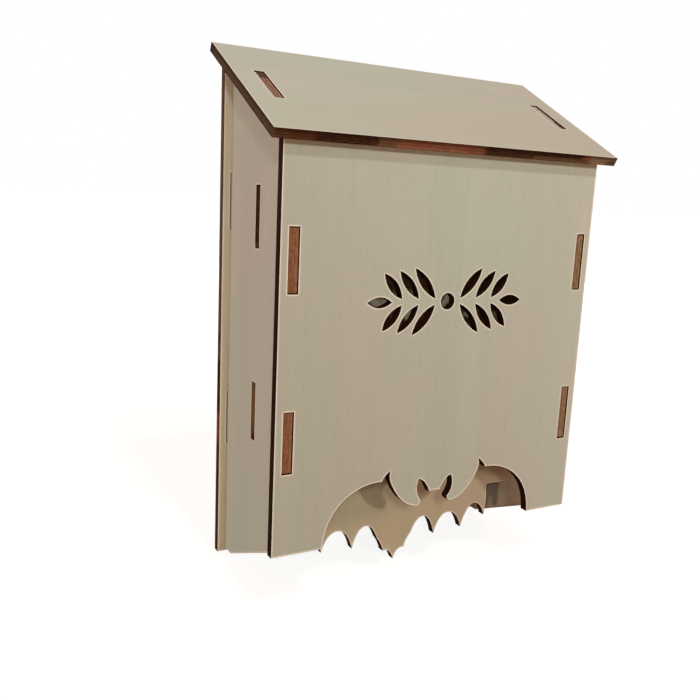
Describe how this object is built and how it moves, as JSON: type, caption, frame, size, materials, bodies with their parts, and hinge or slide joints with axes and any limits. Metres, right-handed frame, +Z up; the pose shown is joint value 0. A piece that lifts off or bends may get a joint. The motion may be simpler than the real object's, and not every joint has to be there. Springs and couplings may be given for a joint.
{
  "type": "bat box",
  "caption": "Small wall-hung bat box of thin plywood, tabs in slots, with a sloping lift-off roof, an inner baffle and a bat-shaped way in at its foot.",
  "frame": {"origin": "centre of the back panel's rear face, where the box meets the wall", "axes": "+Z up, +Y into the wall, +X to the right for someone who looks at the front"},
  "size_m": [0.1188, 0.053, 0.1655],
  "materials": {
    "pale_plywood": "matt",
    "plywood": "matt",
    "inner_plywood": "matt"
  },
  "bodies": {
    "box": {"front_panel": "pale_plywood", "baffle": "inner_plywood", "back_panel": "plywood", "side_panel_left": "plywood", "side_panel_right": "plywood"},
    "roof": {"roof_panel": "pale_plywood"}
  },
  "joints": [
    {"name": "roof_lift", "type": "slide", "parent": "box", "child": "roof", "axis": [0, -0.4787, 0.878], "range_m": [0, 0.025]}
  ]
}
